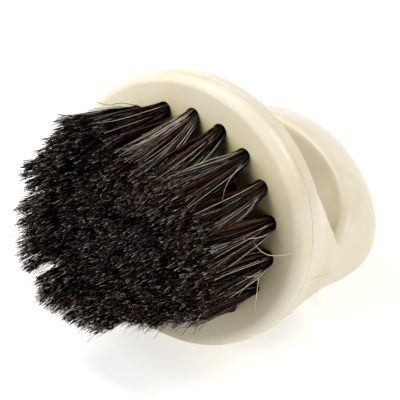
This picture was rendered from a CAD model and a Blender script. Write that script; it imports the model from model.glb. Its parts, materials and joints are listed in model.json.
"""Beard brush with a two-finger ring: moulded body, drilled tufts of natural bristle, stage and camera."""

import json
import math

import bpy
import numpy as np
from mathutils import Matrix, Vector
from mathutils.bvhtree import BVHTree


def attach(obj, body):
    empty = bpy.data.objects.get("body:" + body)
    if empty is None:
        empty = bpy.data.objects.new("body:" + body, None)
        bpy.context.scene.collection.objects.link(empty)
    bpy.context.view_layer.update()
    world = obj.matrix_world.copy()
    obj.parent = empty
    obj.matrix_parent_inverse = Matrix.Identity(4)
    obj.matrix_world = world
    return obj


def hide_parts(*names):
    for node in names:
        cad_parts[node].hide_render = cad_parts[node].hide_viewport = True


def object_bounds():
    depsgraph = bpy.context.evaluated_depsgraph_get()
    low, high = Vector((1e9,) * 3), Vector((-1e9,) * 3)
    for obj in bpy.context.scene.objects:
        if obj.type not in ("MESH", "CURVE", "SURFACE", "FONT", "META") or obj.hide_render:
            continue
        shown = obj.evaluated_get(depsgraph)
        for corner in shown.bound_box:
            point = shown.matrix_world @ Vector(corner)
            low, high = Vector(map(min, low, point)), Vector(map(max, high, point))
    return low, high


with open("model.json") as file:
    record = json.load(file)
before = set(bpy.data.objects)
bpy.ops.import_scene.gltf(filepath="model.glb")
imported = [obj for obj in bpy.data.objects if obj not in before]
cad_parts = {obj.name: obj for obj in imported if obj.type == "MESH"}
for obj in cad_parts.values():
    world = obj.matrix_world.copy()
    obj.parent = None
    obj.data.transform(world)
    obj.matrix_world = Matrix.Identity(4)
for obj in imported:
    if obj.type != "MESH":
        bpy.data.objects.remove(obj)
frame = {"nodes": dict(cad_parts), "record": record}
CAD_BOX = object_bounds()

bl_info = {
    "name": "Beard brush",
    "version": (1, 0, 0),
    "blender": (4, 5, 0),
    "location": "3D View > Sidebar > Beard brush",
    "description": "Dresses a packed beard brush with bristle, moulded finish, floor, light and camera",
    "category": "Object",
}

MM = 0.001
BODY = "root"

# ---- directions of the brush, from the frame --------------------------------
ring_mount = frame["record"]["mounts"][0]
ALONG = Vector((1.0, 0.0, 0.0))  # the head's long axis
ACROSS = Vector(ring_mount["axis"]).normalized()  # the way a finger goes through the ring
BRISTLE = ALONG.cross(ACROSS).normalized()
if BRISTLE.y > 0:  # the bristle points to -Y
    BRISTLE.negate()
TO_LOCAL = Matrix((ALONG, ACROSS, BRISTLE))  # from the row frame to the brush's own directions


def local_points(node):
    """A CAD node's vertices in the brush's own directions, in metres."""
    mesh = frame["nodes"][node].data
    points = np.zeros(len(mesh.vertices) * 3, np.float32)
    mesh.vertices.foreach_get("co", points)
    return points.reshape(-1, 3) @ np.array(TO_LOCAL.transposed())


BLOCK = local_points("bristle_block")
FACE = float(BLOCK[:, 2].max())  # height of the face that the tufts stand on
HEAD_MIDDLE = (BLOCK.min(axis=0) + BLOCK.max(axis=0))[:2] / 2
TUFTS = sorted(name for name in frame["nodes"] if name.startswith("tuft_") and name != "tuft_staples")


# ---- helpers -----------------------------------------------------------------
def linear(code):
    """An sRGB hex colour as the linear RGBA that Blender's sockets take."""
    parts = [int(code[i : i + 2], 16) / 255 for i in (1, 3, 5)]
    return tuple(c / 12.92 if c <= 0.04045 else ((c + 0.055) / 1.055) ** 2.4 for c in parts) + (1.0,)


def add_node(tree, kind, place, settings=None, inputs=None, links=None):
    """Adds a node, sets its properties and inputs, and links sockets (socket: source) to it."""
    node = tree.nodes.new(kind)
    node.location = place
    for name, value in (settings or {}).items():
        setattr(node, name, value)
    for name, value in (inputs or {}).items():
        node.inputs[name].default_value = value
    for name, source in (links or {}).items():
        tree.links.new(source, node.inputs[name])
    return node


def set_ramp(node, stops):
    """Colour stops (place, hex) on a ramp node."""
    ramp = node.color_ramp
    while len(ramp.elements) > 1:
        ramp.elements.remove(ramp.elements[-1])
    ramp.elements[0].position, ramp.elements[0].color = stops[0][0], linear(stops[0][1])
    for place, code in stops[1:]:
        ramp.elements.new(place).color = linear(code)


def set_curve(node, points):
    """Points (run, value) on a float curve node."""
    curve = node.mapping.curves[0]
    curve.points[0].location, curve.points[1].location = points[0], points[-1]
    for run, value in points[1:-1]:
        curve.points.new(run, value)
    node.mapping.update()


def new_material(name):
    """An empty node material with its output node."""
    material = bpy.data.materials.new(name)
    material.use_nodes = True
    material.node_tree.nodes.clear()
    output = add_node(material.node_tree, "ShaderNodeOutputMaterial", (600, 0))
    return material, material.node_tree, output


def add_mesh(name, points, faces, smooth=True):
    """A mesh object at the origin, from points in metres in the row frame."""
    mesh = bpy.data.meshes.new(name)
    mesh.from_pydata([tuple(p) for p in points], [], [tuple(f) for f in faces])
    mesh.validate()
    mesh.polygons.foreach_set("use_smooth", [smooth] * len(mesh.polygons))
    piece = bpy.data.objects.new(name, mesh)
    bpy.context.scene.collection.objects.link(piece)
    return piece


# ---- materials ---------------------------------------------------------------
def moulded_abs(name, colour, shade, recess, speck):
    """Injection-moulded ABS with a fine satin skin: an even cream that is a little deeper
    where the melt met and yellowed in the recesses that a cloth doesn't reach, with faint
    dark specks in the pigment and a barely orange-peeled gloss."""
    material, tree, output = new_material(name)
    where = add_node(tree, "ShaderNodeTexCoord", (-1100, 0)).outputs["Object"]
    flow_size, speck_size, peel_size, recess_size = 15.0, 1.6, 0.9, 12.0  # mm
    speck_reach, speck_rarity = 0.055, 0.93  # a speck's size in its cell, and the share of cells without one
    flow = add_node(
        tree,
        "ShaderNodeTexNoise",
        (-900, 200),
        {},
        {"Scale": 1 / (flow_size * MM), "Detail": 3.0, "Distortion": 0.6},
        {"Vector": where},
    )
    base = add_node(tree, "ShaderNodeValToRGB", (-700, 200), {}, {}, {"Fac": flow.outputs["Fac"]})
    set_ramp(base, [(0.34, shade), (0.66, colour)])
    openness = add_node(
        tree,
        "ShaderNodeAmbientOcclusion",
        (-700, 450),
        {"samples": 8},
        {"Distance": recess_size * MM},
    )
    shut = add_node(
        tree,
        "ShaderNodeMapRange",
        (-500, 450),
        {"interpolation_type": "SMOOTHSTEP"},
        {"From Min": 0.25, "From Max": 0.95, "To Min": 1.0, "To Max": 0.0},
        {"Value": openness.outputs["AO"]},
    )
    yellowed = add_node(
        tree,
        "ShaderNodeMix",
        (-450, 250),
        {"data_type": "RGBA"},
        {"B": linear(recess)},
        {"Factor": shut.outputs[0], "A": base.outputs["Color"]},
    )
    specks = add_node(
        tree, "ShaderNodeTexVoronoi", (-900, -100), {}, {"Scale": 1 / (speck_size * MM)}, {"Vector": where}
    )
    spot = add_node(
        tree,
        "ShaderNodeMath",
        (-700, -100),
        {"operation": "LESS_THAN"},
        {1: speck_reach},
        {0: specks.outputs["Distance"]},
    )
    rare = add_node(
        tree,
        "ShaderNodeMath",
        (-700, -280),
        {"operation": "GREATER_THAN"},
        {1: speck_rarity},
        {0: specks.outputs["Color"]},
    )
    speckled = add_node(
        tree,
        "ShaderNodeMath",
        (-500, -160),
        {"operation": "MULTIPLY"},
        {},
        {0: spot.outputs[0], 1: rare.outputs[0]},
    )
    mixed = add_node(
        tree,
        "ShaderNodeMix",
        (-300, 100),
        {"data_type": "RGBA"},
        {"B": linear(speck)},
        {"Factor": speckled.outputs[0], "A": yellowed.outputs["Result"]},
    )
    peel = add_node(
        tree,
        "ShaderNodeTexNoise",
        (-900, -450),
        {},
        {"Scale": 1 / (peel_size * MM), "Detail": 1.0},
        {"Vector": where},
    )
    bump = add_node(
        tree,
        "ShaderNodeBump",
        (-300, -400),
        {},
        {"Strength": 0.06, "Distance": 0.05 * MM},
        {"Height": peel.outputs["Fac"]},
    )
    skin = add_node(
        tree,
        "ShaderNodeBsdfPrincipled",
        (200, 0),
        {},
        {
            "Roughness": 0.36,
            "IOR": 1.53,
            "Subsurface Weight": 0.2,
            "Subsurface Radius": (1.0, 0.8, 0.5),
            "Subsurface Scale": 1.4 * MM,
        },
        {"Base Color": mixed.outputs["Result"], "Normal": bump.outputs["Normal"]},
    )
    tree.links.new(skin.outputs[0], output.inputs["Surface"])
    return material


def natural_hair(name):
    """Boar and horse hair, cut and washed: near black, some hairs dull and some glinting, with dark brown,
    rust, amber and a few grey hairs among it. It is darkest where it is folded into its hole,
    and its cut ends are darker than its sides, as the tapered tips stand in each other's shade."""
    material, tree, output = new_material(name)
    tone = add_node(tree, "ShaderNodeAttribute", (-900, 200), {"attribute_name": "hair_tone"})
    run = add_node(tree, "ShaderNodeAttribute", (-900, -100), {"attribute_name": "hair_run"})
    shade = add_node(tree, "ShaderNodeValToRGB", (-650, 200), {}, {}, {"Fac": tone.outputs["Fac"]})
    set_ramp(
        shade,
        [
            (0.0, "#020102"),
            (0.5, "#060405"),
            (0.64, "#1C0F08"),
            (0.76, "#44220F"),
            (0.89, "#7E4A26"),
            (0.93, "#8E7256"),
            (0.95, "#D8CDBB"),
            (1.0, "#FBF7EE"),
        ],
    )
    depth = add_node(tree, "ShaderNodeFloatCurve", (-650, -100), {}, {}, {"Value": run.outputs["Fac"]})
    set_curve(depth, [(0.0, 0.15), (0.08, 0.25), (0.24, 1.0), (0.75, 1.0), (0.92, 0.7), (1.0, 0.6)])
    deeper = add_node(
        tree,
        "ShaderNodeVectorMath",
        (-300, 100),
        {"operation": "SCALE"},
        {},
        {"Vector": shade.outputs["Color"], "Scale": depth.outputs[0]},
    )
    shine = add_node(tree, "ShaderNodeAttribute", (-900, -400), {"attribute_name": "hair_shine"})
    gloss = add_node(
        tree,
        "ShaderNodeMapRange",
        (-300, -300),
        {"interpolation_type": "SMOOTHERSTEP"},
        {"From Min": 0.7, "From Max": 1.0, "To Min": 0.02, "To Max": 1.0},
        {"Value": shine.outputs["Fac"]},
    )
    dull = add_node(tree, "ShaderNodeBsdfDiffuse", (0, -150), {}, {}, {"Color": deeper.outputs["Vector"]})
    bright = add_node(
        tree,
        "ShaderNodeBsdfPrincipled",
        (0, 100),
        {},
        {"Roughness": 0.18, "IOR": 1.55, "Specular IOR Level": 1.0},
        {"Base Color": deeper.outputs["Vector"]},
    )
    fibre = add_node(
        tree,
        "ShaderNodeMixShader",
        (350, 0),
        {},
        {},
        {0: gloss.outputs[0], 1: dull.outputs[0], 2: bright.outputs[0]},
    )
    tree.links.new(fibre.outputs[0], output.inputs["Surface"])
    return material


def drawn_wire(name):
    """Bright drawn steel wire, rolled flat: fine lines along it and a plain grey shine."""
    material, tree, output = new_material(name)
    where = add_node(tree, "ShaderNodeTexCoord", (-900, 0)).outputs["Object"]
    line_width = 0.2  # mm
    lines = add_node(
        tree,
        "ShaderNodeTexNoise",
        (-650, 0),
        {},
        {"Scale": 1 / (line_width * MM), "Detail": 1.0},
        {"Vector": where},
    )
    rough = add_node(
        tree,
        "ShaderNodeMapRange",
        (-350, 0),
        {},
        {"To Min": 0.25, "To Max": 0.45},
        {"Value": lines.outputs["Fac"]},
    )
    steel = add_node(
        tree,
        "ShaderNodeBsdfPrincipled",
        (200, 0),
        {},
        {"Base Color": linear("#B5B3AD"), "Metallic": 1.0},
        {"Roughness": rough.outputs[0]},
    )
    tree.links.new(steel.outputs[0], output.inputs["Surface"])
    return material


def seen_directly(tree, place):
    """A socket that is 1 for what the camera sees: straight, in a reflection or through a clear piece."""
    ray = add_node(tree, "ShaderNodeLightPath", place)
    first = add_node(
        tree,
        "ShaderNodeMath",
        (place[0] + 200, place[1]),
        {"operation": "MAXIMUM"},
        {},
        {0: ray.outputs["Is Camera Ray"], 1: ray.outputs["Is Glossy Ray"]},
    )
    second = add_node(
        tree,
        "ShaderNodeMath",
        (place[0] + 400, place[1]),
        {"operation": "MAXIMUM"},
        {},
        {0: first.outputs[0], 1: ray.outputs["Is Transmission Ray"]},
    )
    return second.outputs[0]


def white_paper(name, colour):
    """Matt white paper sweep: it takes a soft shadow near the brush, and to the eye it fades into
    the white room away from it."""
    material, tree, output = new_material(name)
    near, far = 0.08, 0.35  # metres from the brush, between which the paper fades into the room
    seen = seen_directly(tree, (-600, 300))
    paper = add_node(
        tree, "ShaderNodeBsdfDiffuse", (-200, 100), {}, {"Color": linear(colour), "Roughness": 0.6}
    )
    where = add_node(tree, "ShaderNodeTexCoord", (-1000, -100)).outputs["Object"]
    away = add_node(tree, "ShaderNodeVectorMath", (-800, -100), {"operation": "LENGTH"}, {}, {0: where})
    fade = add_node(
        tree,
        "ShaderNodeMapRange",
        (-600, -100),
        {"interpolation_type": "SMOOTHSTEP"},
        {"From Min": near, "From Max": far, "To Min": 0.5, "To Max": 1.0},
        {"Value": away.outputs["Value"]},
    )
    glow = add_node(
        tree,
        "ShaderNodeEmission",
        (-200, -100),
        {},
        {"Color": linear("#FFFFFF")},
        {"Strength": fade.outputs[0]},
    )
    lit = add_node(tree, "ShaderNodeAddShader", (100, 0), {}, {}, {0: paper.outputs[0], 1: glow.outputs[0]})
    mixed = add_node(
        tree,
        "ShaderNodeMixShader",
        (350, 100),
        {},
        {},
        {0: seen, 1: paper.outputs[0], 2: lit.outputs[0]},
    )
    tree.links.new(mixed.outputs[0], output.inputs["Surface"])
    return material


# ---- settings ----------------------------------------------------------------
class BrushBodySettings(bpy.types.PropertyGroup):
    colour: bpy.props.StringProperty(
        name="Colour", description="Cream of the moulding, sRGB hex", default="#F2EAD5"
    )
    shade: bpy.props.StringProperty(
        name="Shade", description="Deeper cream where the melt met, sRGB hex", default="#EADEC0"
    )
    recess: bpy.props.StringProperty(
        name="Recess", description="Yellowed cream of the recesses, sRGB hex", default="#E8D79E"
    )
    speck: bpy.props.StringProperty(
        name="Specks", description="Dark specks in the pigment, sRGB hex", default="#B09A72"
    )


class BristleSettings(bpy.types.PropertyGroup):
    hairs: bpy.props.IntProperty(name="Hairs", description="Hairs in each tuft", default=640, min=10)
    hair_width: bpy.props.FloatProperty(
        name="Hair width", description="Width of a hair at its root", default=0.13 * MM, unit="LENGTH"
    )
    root_radius: bpy.props.FloatProperty(
        name="Root radius", description="Radius of the tight root of a tuft", default=1.72 * MM, unit="LENGTH"
    )
    spread: bpy.props.FloatProperty(
        name="Spread", description="Radius of a tuft at its tips", default=4.1 * MM, unit="LENGTH"
    )
    gather: bpy.props.FloatVectorProperty(
        name="Gather",
        description="Where a tuft's tips stand, as shares of its root's place along and across",
        default=(0.92, 0.79),
        size=2,
    )
    sag: bpy.props.FloatVectorProperty(
        name="Sag",
        description="How far use has pushed all tips along and across",
        default=(2.2 * MM, -1.8 * MM),
        size=2,
        unit="LENGTH",
    )
    clumps: bpy.props.IntProperty(
        name="Clumps", description="Points that a tuft's tips draw to", default=15, min=1
    )
    clumping: bpy.props.FloatProperty(
        name="Clumping", description="How close the tips draw to them", default=0.5, subtype="FACTOR", max=1
    )
    drift: bpy.props.FloatProperty(
        name="Drift",
        description="How far a hair's tip strays from its place",
        default=0.5 * MM,
        unit="LENGTH",
    )
    curl: bpy.props.FloatProperty(
        name="Curl", description="How far a hair's last part hooks aside", default=0.35 * MM, unit="LENGTH"
    )
    uneven: bpy.props.FloatProperty(
        name="Uneven cut", description="How much the hairs differ in length", default=0.9 * MM, unit="LENGTH"
    )
    grey: bpy.props.FloatProperty(
        name="Grey", description="Share of grey hairs all through", default=0.012, subtype="FACTOR", max=1
    )
    seed: bpy.props.IntProperty(name="Seed", description="Seed of the random draws", default=11)


class StageSettings(bpy.types.PropertyGroup):
    paper: bpy.props.StringProperty(name="Paper", description="Floor colour, sRGB hex", default="#F7F6F3")
    azimuth: bpy.props.FloatProperty(
        name="Azimuth",
        description="Camera's turn round the brush",
        default=math.radians(36.53),
        subtype="ANGLE",
    )
    elevation: bpy.props.FloatProperty(
        name="Elevation", description="Camera's height angle", default=math.radians(40.07), subtype="ANGLE"
    )
    roll: bpy.props.FloatProperty(
        name="Roll", description="Camera's roll", default=math.radians(6.6), subtype="ANGLE"
    )
    distance: bpy.props.FloatProperty(
        name="Distance", description="Camera to the brush", default=290 * MM, unit="LENGTH"
    )
    lens: bpy.props.FloatProperty(name="Lens", description="Focal length in millimetres", default=122.24)


# ---- body --------------------------------------------------------------------
class BRUSH_OT_body(bpy.types.Operator):
    """Gives the handle, the block and the anchors their finishes"""

    bl_idname = "brush.body"
    bl_label = "Moulded body"

    def execute(self, context):
        look = context.scene.brush_body
        cream = moulded_abs("moulded_abs_cream", look.colour, look.shade, look.recess, look.speck)
        wire = drawn_wire("drawn_steel_wire")
        for node in ("handle_body", "bristle_block"):
            piece = frame["nodes"][node]
            piece.data.materials.clear()
            piece.data.materials.append(cream)
        staples = frame["nodes"]["tuft_staples"]
        staples.data.materials.clear()
        staples.data.materials.append(wire)
        return {"FINISHED"}


# ---- marks of the mould ------------------------------------------------------
SEAM_BELOW_FACE = 3.4 * MM  # the two mouldings meet this far behind the face
PARTING_DEPTHS = (1.6, 12.0)  # mm behind the seam, where the line on the flank starts and ends
GATE_PLACE = (25.1, 16.2)  # mm along and across: the way out to where the melt's gate was snipped off
GATE_BELOW_SEAM = 0.9 * MM
RAY_START = 60 * MM  # a ray that looks for the surface starts this far out


def shell(node):
    """A CAD node's surface for ray casts, in the brush's own directions."""
    faces = [tuple(face.vertices) for face in frame["nodes"][node].data.polygons]
    return BVHTree.FromPolygons([Vector(point) for point in local_points(node).tolist()], faces)


def parting_line(side, surface):
    """Points and faces of the thin ridge that the mould's halves leave on one flank."""
    start, end = PARTING_DEPTHS
    steps, width, height, sunk = 40, 0.14 * MM, 0.07 * MM, 0.02 * MM
    sway_width, sway_turns = 0.12 * MM, 9
    blunt = 0.02  # share of the length at which the ridge starts at its ends
    points = []
    for share in np.linspace(0, 1, steps):
        depth = FACE - SEAM_BELOW_FACE - (start + (end - start) * share) * MM
        sway = sway_width * math.sin(sway_turns * share)
        origin = Vector((side * RAY_START, float(HEAD_MIDDLE[1]) + sway, depth))
        place, normal = surface.ray_cast(origin, Vector((-side, 0.0, 0.0)))[:2]
        full = math.sqrt(math.sin(math.pi * min(1 - blunt, max(blunt, share))))
        for across, out in ((-width, -sunk), (0.0, height * full), (width, -sunk)):
            points.append(place + normal * out + Vector((0.0, across, 0.0)))
    faces = [(0, 1, 2), tuple(3 * (steps - 1) + corner for corner in (2, 1, 0))]
    for step in range(steps - 1):
        for corner in range(3):
            here, there = 3 * step + corner, 3 * step + (corner + 1) % 3
            faces.append((there, here, here + 3, there + 3))
    return points, faces


def gate_mark(surface):
    """Points and faces of the small stub that is left of the gate on the handle's rim."""
    toward = Vector((*GATE_PLACE, 0.0)).normalized()
    depth = FACE - SEAM_BELOW_FACE - GATE_BELOW_SEAM
    middle = Vector((float(HEAD_MIDDLE[0]), float(HEAD_MIDDLE[1]), depth))
    place = surface.ray_cast(middle + toward * RAY_START, -toward)[0]
    sides, levels, radius, height, sunk = 16, 5, 0.62 * MM, 0.3 * MM, 0.1 * MM
    oval, ragged = 1.3, 0.12  # length over width, and how far its outline swells three times round
    along_rim, along_depth = Vector((-toward.y, toward.x, 0.0)), Vector((0.0, 0.0, 1.0))
    points, faces = [], []
    for level in range(levels):
        lift = math.pi / 2 * level / levels
        for step in range(sides):
            turn = 2 * math.pi * step / sides
            spread = radius * math.cos(lift) * (1 + ragged * math.sin(3 * turn))
            flat = along_rim * math.cos(turn) * spread * oval + along_depth * math.sin(turn) * spread
            points.append(place + flat + toward * (height * math.sin(lift) - sunk))
    points.append(place + toward * (height - sunk))
    for level in range(levels - 1):
        for step in range(sides):
            here, there = level * sides + step, level * sides + (step + 1) % sides
            faces.append((here, there, there + sides, here + sides))
    last = (levels - 1) * sides
    faces += [(last + step, last + (step + 1) % sides, len(points) - 1) for step in range(sides)]
    faces.append(tuple(reversed(range(sides))))
    return points, faces


def add_mark(name, shape, material):
    """A mark of the mould, from points in the brush's own directions, as a piece of the body."""
    points, faces = shape
    back = TO_LOCAL.transposed()
    piece = add_mesh(name, [back @ point for point in points], faces)
    piece.data.materials.append(material)
    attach(piece, BODY)


class BRUSH_OT_marks(bpy.types.Operator):
    """Adds the fine marks that the mould leaves on the handle"""

    bl_idname = "brush.marks"
    bl_label = "Marks of the mould"

    def execute(self, context):
        surface = shell("handle_body")
        cream = frame["nodes"]["handle_body"].data.materials[0]
        add_mark("parting_line_right", parting_line(1, surface), cream)
        add_mark("parting_line_left", parting_line(-1, surface), cream)
        add_mark("gate_mark", gate_mark(surface), cream)
        return {"FINISHED"}


# ---- bristle -----------------------------------------------------------------
HAIR_STATIONS = (0.0, 0.04, 0.14, 0.3, 0.48, 0.66, 0.8, 0.9, 1.0)  # shares of a hair's length
SIDES = 3  # of a hair's section
HAIR_TAPER = ((0.0, 0.6, 1.0), (1.0, 0.95, 0.75))  # shares of the length, shares of the root's width
ROOT_DEPTH = 0.8 * MM  # how far a hair's root goes into its hole
BOX_MARGIN = 0.3 * MM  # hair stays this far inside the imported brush's box

# How one hair or tuft differs from the next.
TUFT_JITTER = 0.5 * MM  # how far a tuft's tips stand off their place
OUTER_FAN, INNER_FAN = 1.05, 1.2  # how wide tufts fan out, as shares of the setting
BOW = 0.78  # power of the fan along the length: below 1 a tuft swells near its root
CLUMP_CUT = 0.5  # how unevenly whole clumps are cut, as a share of the setting
WAVE = 0.22 * MM  # how far a hair's middle stands off its line
STRAY_ABOVE, STRAY_DRIFT = 0.96, 2.5  # hairs that draw more than the first drift that much further
HOOK_START, HOOK_POWER = 0.72, 1.6  # where a hair's last part starts to hook, and how suddenly
THINNEST, WIDTH_RANGE = 0.7, 0.6  # shares of the width setting
OUTSIDE = 0.45  # share of the way out from which a hair stands on its tuft's outside
# A tone pair is the darkest and the range above it; hooks, lengths and widths are shares of the usual.
FRIZZ_HOOK, FRIZZ_LENGTH, FRIZZ_TONE = 3.4, 0.86, (0.8, 0.12)
PALE_TONE, PALE_WIDTH = (0.93, 0.07), 0.78
GREY_TONE = 0.97
LOOSE_WIDTH, LOOSE_SHINE = 1.2, 0.9

# Bent by use: how far some tufts' tips lean away from the rest, in mm along and across.
TUFT_LEANS = {
    "tuft_outer_19": (0.0, 2.2),
    "tuft_outer_01": (-0.5, 3.0),
    "tuft_outer_02": (-1.0, 2.2),
    "tuft_outer_05": (2.0, -2.2),
    "tuft_outer_06": (1.6, -3.0),
    "tuft_outer_07": (-2.0, 2.0),
    "tuft_outer_08": (-2.0, 4.0),
    "tuft_outer_09": (-1.0, 1.5),
    "tuft_outer_10": (-0.5, 0.8),
    "tuft_outer_11": (-0.4, -1.7),
    "tuft_outer_12": (-0.9, -3.0),
    "tuft_outer_13": (2.3, -5.3),
    "tuft_outer_14": (1.9, -1.9),
    "tuft_outer_15": (0.6, 0.5),
    "tuft_outer_16": (0.5, 5.0),
    "tuft_outer_17": (0.0, 6.4),
    "tuft_outer_18": (0.0, 5.4),
    "tuft_middle_08": (-0.3, -2.4),
}
# How wide some tufts fan out, as a share of the usual.
TUFT_SPREADS = {
    "tuft_outer_02": 1.2,
    "tuft_outer_03": 1.25,
    "tuft_outer_04": 1.35,
    "tuft_outer_05": 1.25,
    "tuft_outer_06": 1.55,
    "tuft_outer_07": 1.25,
    "tuft_middle_01": 1.6,
    "tuft_middle_02": 1.7,
    "tuft_middle_03": 1.6,
}
# How dark a tuft is: above 1 it has fewer brown and grey hairs.
OUTER_DARKNESS, INNER_DARKNESS = 1.0, 1.8
TUFT_DARKNESS = {
    "tuft_outer_02": 0.6,
    "tuft_outer_04": 0.7,
    "tuft_outer_06": 0.65,
    "tuft_outer_07": 1.9,
    "tuft_outer_08": 1.5,
}
# Share of pale hairs on the outside of some tufts.
PALE_SHARE = {
    "tuft_outer_19": 0.05,
    "tuft_outer_01": 0.025,
    "tuft_outer_02": 0.02,
    "tuft_outer_03": 0.04,
    "tuft_outer_04": 0.05,
    "tuft_outer_05": 0.04,
    "tuft_outer_06": 0.12,
    "tuft_outer_07": 0.03,
    "tuft_outer_16": 0.12,
    "tuft_outer_17": 0.12,
    "tuft_outer_18": 0.12,
}
# Tufts whose outermost hairs are curled and brown, with the share of the way out where these begin.
NO_FRIZZ = 2.0  # past the outermost hair
FRIZZY_TUFTS = {"tuft_outer_16": 0.62, "tuft_outer_17": 0.55, "tuft_outer_18": 0.66}
NEAT_TUFTS = ("tuft_outer_08", "tuft_outer_09", "tuft_outer_10")  # no hair leaves these
# Loose hairs through four points each: along, across and height above the face in mm, with a tone.
LOOSE_HAIRS = {
    "tuft_outer_19": [
        (((24.1, -3.6, 1.0), (26.6, 0.4, 6.0), (28.4, -1.7, 8.0), (30.0, -5.2, 9.0)), 1.0),
    ],
    "tuft_outer_01": [
        (((25.0, 1.1, 1.0), (26.8, 0.8, 6.0), (26.8, -1.0, 12.0), (25.9, -3.7, 17.0)), 0.97),
        (((25.0, 1.1, 1.0), (26.6, 1.2, 7.0), (26.4, 1.8, 11.0), (22.9, 1.5, 17.0)), 1.0),
        (((24.9, 0.2, 1.0), (26.7, 0.7, 8.0), (26.5, -0.9, 10.0), (26.8, -2.4, 12.0)), 0.95),
    ],
    "tuft_outer_02": [
        (((23.9, 8.3, 9.0), (26.3, 6.7, 8.0), (28.3, 6.5, 6.0), (31.0, 8.3, 3.5)), 0.97),
        (((23.2, 8.4, 1.0), (24.6, 9.0, 7.0), (23.9, 9.3, 12.0), (21.8, 9.2, 18.0)), 0.98),
    ],
    "tuft_outer_03": [
        (((18.2, 14.5, 1.0), (20.1, 14.4, 6.0), (21.2, 13.1, 10.0), (20.4, 10.2, 15.0)), 0.99),
    ],
    "tuft_outer_04": [
        (((11.6, 18.3, 1.0), (14.2, 18.2, 7.0), (15.4, 15.4, 11.0), (20.4, 10.2, 15.0)), 0.95),
        (((11.6, 18.6, 1.0), (11.5, 16.8, 8.0), (11.9, 13.7, 12.0), (12.6, 11.2, 18.0)), 0.99),
        (((10.9, 18.4, 1.0), (11.2, 15.8, 8.0), (13.0, 12.6, 11.0), (14.1, 10.1, 16.0)), 0.98),
    ],
    "tuft_outer_06": [
        (((-2.0, 20.8, 1.0), (-1.9, 17.1, 8.0), (-1.5, 12.4, 13.0), (-4.0, 7.5, 20.0)), 0.98),
        (((-2.2, 20.3, 1.0), (-4.3, 18.1, 8.0), (-6.7, 16.4, 11.0), (-9.8, 15.4, 16.0)), 0.99),
    ],
    "tuft_outer_07": [
        (((-13.1, 17.5, 1.0), (-15.2, 19.1, 9.0), (-15.3, 19.0, 12.0), (-17.0, 19.2, 15.0)), 0.6),
        (((-13.6, 17.7, 1.0), (-14.6, 18.3, 8.0), (-15.2, 18.5, 10.0), (-16.0, 17.9, 12.0)), 0.75),
        (((-9.4, 19.0, 1.0), (-8.6, 17.1, 9.0), (-11.1, 16.2, 13.0), (-16.3, 15.7, 22.0)), 0.96),
    ],
}


def tuft_root(node):
    """A CAD tuft's root centre on the face and its height, in the brush's own directions, in metres."""
    points = local_points(node)
    root = points[points[:, 2] < FACE - 1.0 * MM]
    centre = (root.min(axis=0) + root.max(axis=0)) / 2
    centre[2] = FACE
    return centre, points[:, 2].max() - FACE


def disc_draw(draws, count):
    """Points spread evenly over a unit disc."""
    radius = np.sqrt(draws.random(count))
    turn = draws.random(count) * 2 * math.pi
    return np.stack([radius * np.cos(turn), radius * np.sin(turn)], axis=1)


def loose_paths(node):
    """Station points and tones of a tuft's loose hairs, as smooth curves through their points."""
    shares = np.array(HAIR_STATIONS)
    paths, tones = [], []
    for through, tone in LOOSE_HAIRS.get(node, []):
        points = np.array(through) * MM + (HEAD_MIDDLE[0], HEAD_MIDDLE[1], FACE)
        fit = np.polyfit(np.linspace(0, 1, len(points)), points, len(points) - 1)
        paths.append(np.stack([np.polyval(fit[:, axis], shares) for axis in range(3)], axis=1))
        tones.append(tone)
    return paths, tones


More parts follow.
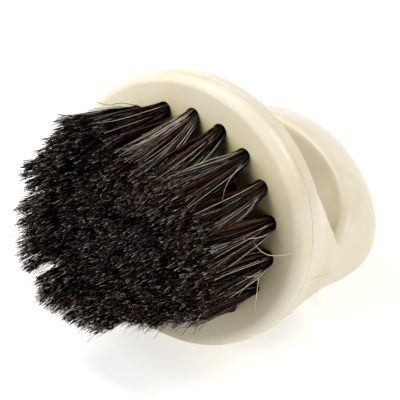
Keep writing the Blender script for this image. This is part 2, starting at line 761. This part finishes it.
def hair_paths(node, look, draws):
    """Every hair of a tuft: its station points in the brush's own directions, width, tone and shine."""
    root_centre, length = tuft_root(node)
    count = look.hairs
    place = disc_draw(draws, count)
    clump_places = disc_draw(draws, look.clumps)
    nearest = np.linalg.norm(place[:, None] - clump_places[None], axis=2).argmin(axis=1)
    clump_cut = np.abs(draws.normal(0.0, CLUMP_CUT * look.uneven, look.clumps))[nearest]
    wander = 1 + STRAY_DRIFT * (draws.random(count) > STRAY_ABOVE) * (node not in NEAT_TUFTS)
    drift = draws.normal(0.0, look.drift, (count, 2)) * wander[:, None]
    wave = draws.normal(0.0, WAVE, (count, 2))
    hook = draws.normal(0.0, look.curl, (count, 2))
    outward = root_centre[:2] - HEAD_MIDDLE
    way_out = place @ (outward / np.linalg.norm(outward))
    frizzy = way_out > FRIZZY_TUFTS.get(node, NO_FRIZZ)
    hook = np.where(frizzy[:, None], FRIZZ_HOOK * hook, hook)

    # Where each hair starts on the face and where its tip stands.
    bend = np.array(look.sag) + np.array(TUFT_LEANS.get(node, (0.0, 0.0))) * MM
    bend += draws.normal(0.0, TUFT_JITTER, 2)
    middle = HEAD_MIDDLE + outward * np.array(look.gather) + bend
    drawn = place * (1 - look.clumping) + clump_places[nearest] * look.clumping
    start = root_centre[:2] + place * look.root_radius
    fan = TUFT_SPREADS.get(node, OUTER_FAN if "outer" in node else INNER_FAN)
    finish = middle + drawn * look.spread * fan + drift

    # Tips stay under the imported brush's top and behind its front.
    over = finish[:, 1] * ACROSS.z + (FACE + length) * BRISTLE.z - (CAD_BOX[1].z - BOX_MARGIN)
    finish[:, 1] -= np.maximum(0, over) / ACROSS.z
    top = length - clump_cut - np.abs(draws.normal(0.0, look.uneven, count))
    front = (finish[:, 1] * ACROSS.y - CAD_BOX[0].y - BOX_MARGIN) / -BRISTLE.y - FACE
    top = np.minimum(top, front - draws.random(count) * look.uneven)
    top = np.where(frizzy, FRIZZ_LENGTH * top, top)

    shares = np.array(HAIR_STATIONS)[None, :, None]
    rise = np.array(HAIR_STATIONS)[None, :] * top[:, None]
    bow = shares**BOW
    path = start[:, None, :] * (1 - bow) + finish[:, None, :] * bow
    path += wave[:, None, :] * np.sin(math.pi * shares) * np.minimum(1, 3 * shares)
    path += hook[:, None, :] * np.maximum(0, (shares - HOOK_START) / (1 - HOOK_START)) ** HOOK_POWER
    points = np.concatenate([path, root_centre[2] + rise[:, :, None]], axis=2)
    points[:, 0, 2] -= ROOT_DEPTH

    width = look.hair_width * (THINNEST + WIDTH_RANGE * draws.random(count))
    darkness = TUFT_DARKNESS.get(node, OUTER_DARKNESS if "outer" in node else INNER_DARKNESS)
    tone = draws.random(count) ** darkness
    tone = np.where(frizzy, FRIZZ_TONE[0] + FRIZZ_TONE[1] * tone, tone)
    bleached = (way_out > OUTSIDE) & (draws.random(count) < PALE_SHARE.get(node, 0.0))
    tone = np.where(bleached, PALE_TONE[0] + PALE_TONE[1] * draws.random(count), tone)
    width = np.where(bleached, PALE_WIDTH * width, width)
    shine = draws.random(count)
    tone = np.where(draws.random(count) < look.grey, GREY_TONE, tone)
    loose, loose_tones = loose_paths(node)
    if loose:
        points = np.concatenate([points, np.array(loose)])
        width = np.concatenate([width, np.full(len(loose), LOOSE_WIDTH * look.hair_width)])
        tone = np.concatenate([tone, loose_tones])
        shine = np.concatenate([shine, np.full(len(loose), LOOSE_SHINE)])
    return points, width, tone, shine


def hair_mesh(name, points, width, tone, shine, material):
    """Three-sided tapered hairs along their station points, as one mesh."""
    count, stations = points.shape[:2]
    towards = np.zeros_like(points)
    towards[:, 1:-1] = points[:, 2:] - points[:, :-2]
    towards[:, 0] = points[:, 1] - points[:, 0]
    towards[:, -1] = points[:, -1] - points[:, -2]
    towards /= np.linalg.norm(towards, axis=2, keepdims=True)
    side = np.cross(towards, np.array([0.31, 0.95, 0.0]))  # any way that no hair runs
    side /= np.linalg.norm(side, axis=2, keepdims=True)
    other = np.cross(towards, side)
    taper = np.interp(HAIR_STATIONS, *HAIR_TAPER)
    rings = []
    for corner in range(SIDES):
        turn = 2 * math.pi * corner / SIDES
        reach = (width[:, None] / 2 * taper[None, :])[:, :, None]
        rings.append(points + reach * (side * math.cos(turn) + other * math.sin(turn)))
    ring = np.stack(rings, axis=2).reshape(-1, 3)  # hair, station, corner
    world = ring @ np.array(TO_LOCAL)
    number = np.arange(count * stations * SIDES).reshape(count, stations, SIDES)
    lower, upper = number[:, :-1], number[:, 1:]
    turn_on = np.roll(number, -1, axis=2)
    quads = np.stack([lower, turn_on[:, :-1], turn_on[:, 1:], upper], axis=-1).reshape(-1, 4)
    caps = np.concatenate([number[:, -1], number[:, 0, ::-1]])
    mesh = bpy.data.meshes.new(name)
    corners = np.concatenate([quads.ravel(), caps.ravel()]).astype(np.int32)
    sizes = np.concatenate([np.full(len(quads), 4), np.full(len(caps), 3)]).astype(np.int32)
    mesh.vertices.add(len(world))
    mesh.vertices.foreach_set("co", world.astype(np.float32).ravel())
    mesh.loops.add(len(corners))
    mesh.loops.foreach_set("vertex_index", corners)
    mesh.polygons.add(len(sizes))
    mesh.polygons.foreach_set("loop_start", np.concatenate([[0], np.cumsum(sizes)[:-1]]).astype(np.int32))
    mesh.polygons.foreach_set("loop_total", sizes)
    mesh.update(calc_edges=True)
    mesh.polygons.foreach_set("use_smooth", np.ones(len(sizes), dtype=bool))
    per_hair = stations * SIDES
    for label, values in (
        ("hair_tone", np.repeat(tone, per_hair)),
        ("hair_shine", np.repeat(shine, per_hair)),
        ("hair_run", np.tile(np.repeat(HAIR_STATIONS, SIDES), count)),
    ):
        mesh.attributes.new(label, "FLOAT", "POINT").data.foreach_set("value", values.astype(np.float32))
    mesh.materials.append(material)
    piece = bpy.data.objects.new(name, mesh)
    bpy.context.scene.collection.objects.link(piece)
    return piece


class BRUSH_OT_bristle(bpy.types.Operator):
    """Puts the full bunch of hair in place of each packed tuft"""

    bl_idname = "brush.bristle"
    bl_label = "Bristle tufts"

    def execute(self, context):
        look = context.scene.brush_bristle
        hair = natural_hair("cut_natural_hair")
        for number, node in enumerate(TUFTS):
            draws = np.random.default_rng(look.seed * 1000 + number)
            points, width, tone, shine = hair_paths(node, look, draws)
            piece = hair_mesh(node.replace("tuft_", "hair_"), points, width, tone, shine, hair)
            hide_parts(node)
            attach(piece, BODY)
        return {"FINISHED"}


# ---- stage -------------------------------------------------------------------
def add_lamp(name, place, aim, size, power):
    """A square soft box that faces a point."""
    lamp = bpy.data.lights.new(name, "AREA")
    lamp.size = size
    lamp.energy = power
    holder = bpy.data.objects.new(name, lamp)
    holder.location = place
    holder.rotation_euler = (aim - place).to_track_quat("-Z", "Y").to_euler()
    bpy.context.scene.collection.objects.link(holder)


CAMERA_AIM = (1.5, -4.25, 29.88)  # mm, where the photo's middle is on the brush
FLOOR_REACH = 1.5  # metres from the brush to the paper's edges
FLOOR_GAP = 0.05 * MM  # keeps the paper clear of the brush's lowest faces
# Each box: name, place in metres to the camera's right, above and before the brush, size in metres, watts.
SOFT_BOXES = (
    ("key_box", (-0.55, 0.75, 0.35), 0.4, 5.0),
    ("rim_box", (0.6, 0.7, 0.3), 0.5, 4.4),
    ("front_box", (-0.6, 0.1, 0.8), 0.5, 2.5),
    ("low_box", (0.7, -0.5, 0.5), 0.6, 6.3),
    ("left_box", (-0.9, 0.25, 0.4), 0.4, 3.3),
)


def white_room(tree):
    """A room that is white to the eye and in reflections, and lights the brush only a little."""
    tree.nodes.clear()
    seen = seen_directly(tree, (-600, 0))
    strength = add_node(
        tree, "ShaderNodeMapRange", (-200, 0), {}, {"To Min": 0.06, "To Max": 1.0}, {"Value": seen}
    )
    room = add_node(
        tree,
        "ShaderNodeBackground",
        (100, 0),
        {},
        {"Color": linear("#FFFFFF")},
        {"Strength": strength.outputs[0]},
    )
    add_node(tree, "ShaderNodeOutputWorld", (350, 0), {}, {}, {"Surface": room.outputs[0]})


class BRUSH_OT_stage(bpy.types.Operator):
    """Makes the floor, the soft boxes, the world and the camera"""

    bl_idname = "brush.stage"
    bl_label = "Stage"

    def execute(self, context):
        look = context.scene.brush_stage
        corners = [(x * FLOOR_REACH, y * FLOOR_REACH, 0) for x, y in ((-1, -1), (1, -1), (1, 1), (-1, 1))]
        floor = add_mesh("floor", corners, [(0, 1, 2, 3)], smooth=False)
        floor.location.z = -FLOOR_GAP
        floor.data.materials.append(white_paper("matt_paper_sweep", look.paper))

        back = Vector(
            (
                math.sin(look.azimuth) * math.cos(look.elevation),
                -math.cos(look.azimuth) * math.cos(look.elevation),
                math.sin(look.elevation),
            )
        )
        aim = Vector(CAMERA_AIM) * MM
        camera = bpy.data.objects.new("camera", bpy.data.cameras.new("camera"))
        camera.location = aim + back * look.distance
        upright = (-back).to_track_quat("-Z", "Y").to_matrix()
        camera.rotation_euler = (upright @ Matrix.Rotation(look.roll, 3, "Z")).to_euler()
        camera.data.sensor_width = 36.0
        camera.data.lens = look.lens
        camera.data.clip_start, camera.data.clip_end = 0.01, 10.0  # metres
        context.scene.collection.objects.link(camera)
        context.scene.camera = camera

        right, up = upright @ Vector((1, 0, 0)), upright @ Vector((0, 1, 0))
        for name, (aside, above, before), size, power in SOFT_BOXES:
            add_lamp(name, aim + right * aside + up * above + back * before, aim, size, power)

        world = bpy.data.worlds.new("soft_room")
        context.scene.world = world
        world.use_nodes = True
        white_room(world.node_tree)
        context.scene.view_settings.view_transform = "Standard"
        return {"FINISHED"}


# ---- panel and registration --------------------------------------------------
class BRUSH_PT_panel(bpy.types.Panel):
    bl_idname = "BRUSH_PT_panel"
    bl_label = "Beard brush"
    bl_space_type = "VIEW_3D"
    bl_region_type = "UI"
    bl_category = "Beard brush"

    def draw(self, context):
        for settings, operators in (
            ("brush_body", ("brush.body", "brush.marks")),
            ("brush_bristle", ("brush.bristle",)),
            ("brush_stage", ("brush.stage",)),
        ):
            group = getattr(context.scene, settings)
            box = self.layout.box()
            for name in group.bl_rna.properties.keys():
                if name not in ("rna_type", "name"):
                    box.prop(group, name)
            for operator in operators:
                box.operator(operator)


SETTINGS = {
    "brush_body": BrushBodySettings,
    "brush_bristle": BristleSettings,
    "brush_stage": StageSettings,
}
OPERATORS = (BRUSH_OT_body, BRUSH_OT_marks, BRUSH_OT_bristle, BRUSH_OT_stage)
CLASSES = (*SETTINGS.values(), *OPERATORS, BRUSH_PT_panel)


def register():
    for one in CLASSES:
        bpy.utils.register_class(one)
    for name, group in SETTINGS.items():
        setattr(bpy.types.Scene, name, bpy.props.PointerProperty(type=group))


def unregister():
    for name in SETTINGS:
        delattr(bpy.types.Scene, name)
    for one in reversed(CLASSES):
        bpy.utils.unregister_class(one)


def main():
    register()
    bpy.ops.brush.body()
    bpy.ops.brush.marks()
    bpy.ops.brush.bristle()
    bpy.ops.brush.stage()


if __name__ == "__main__":
    main()
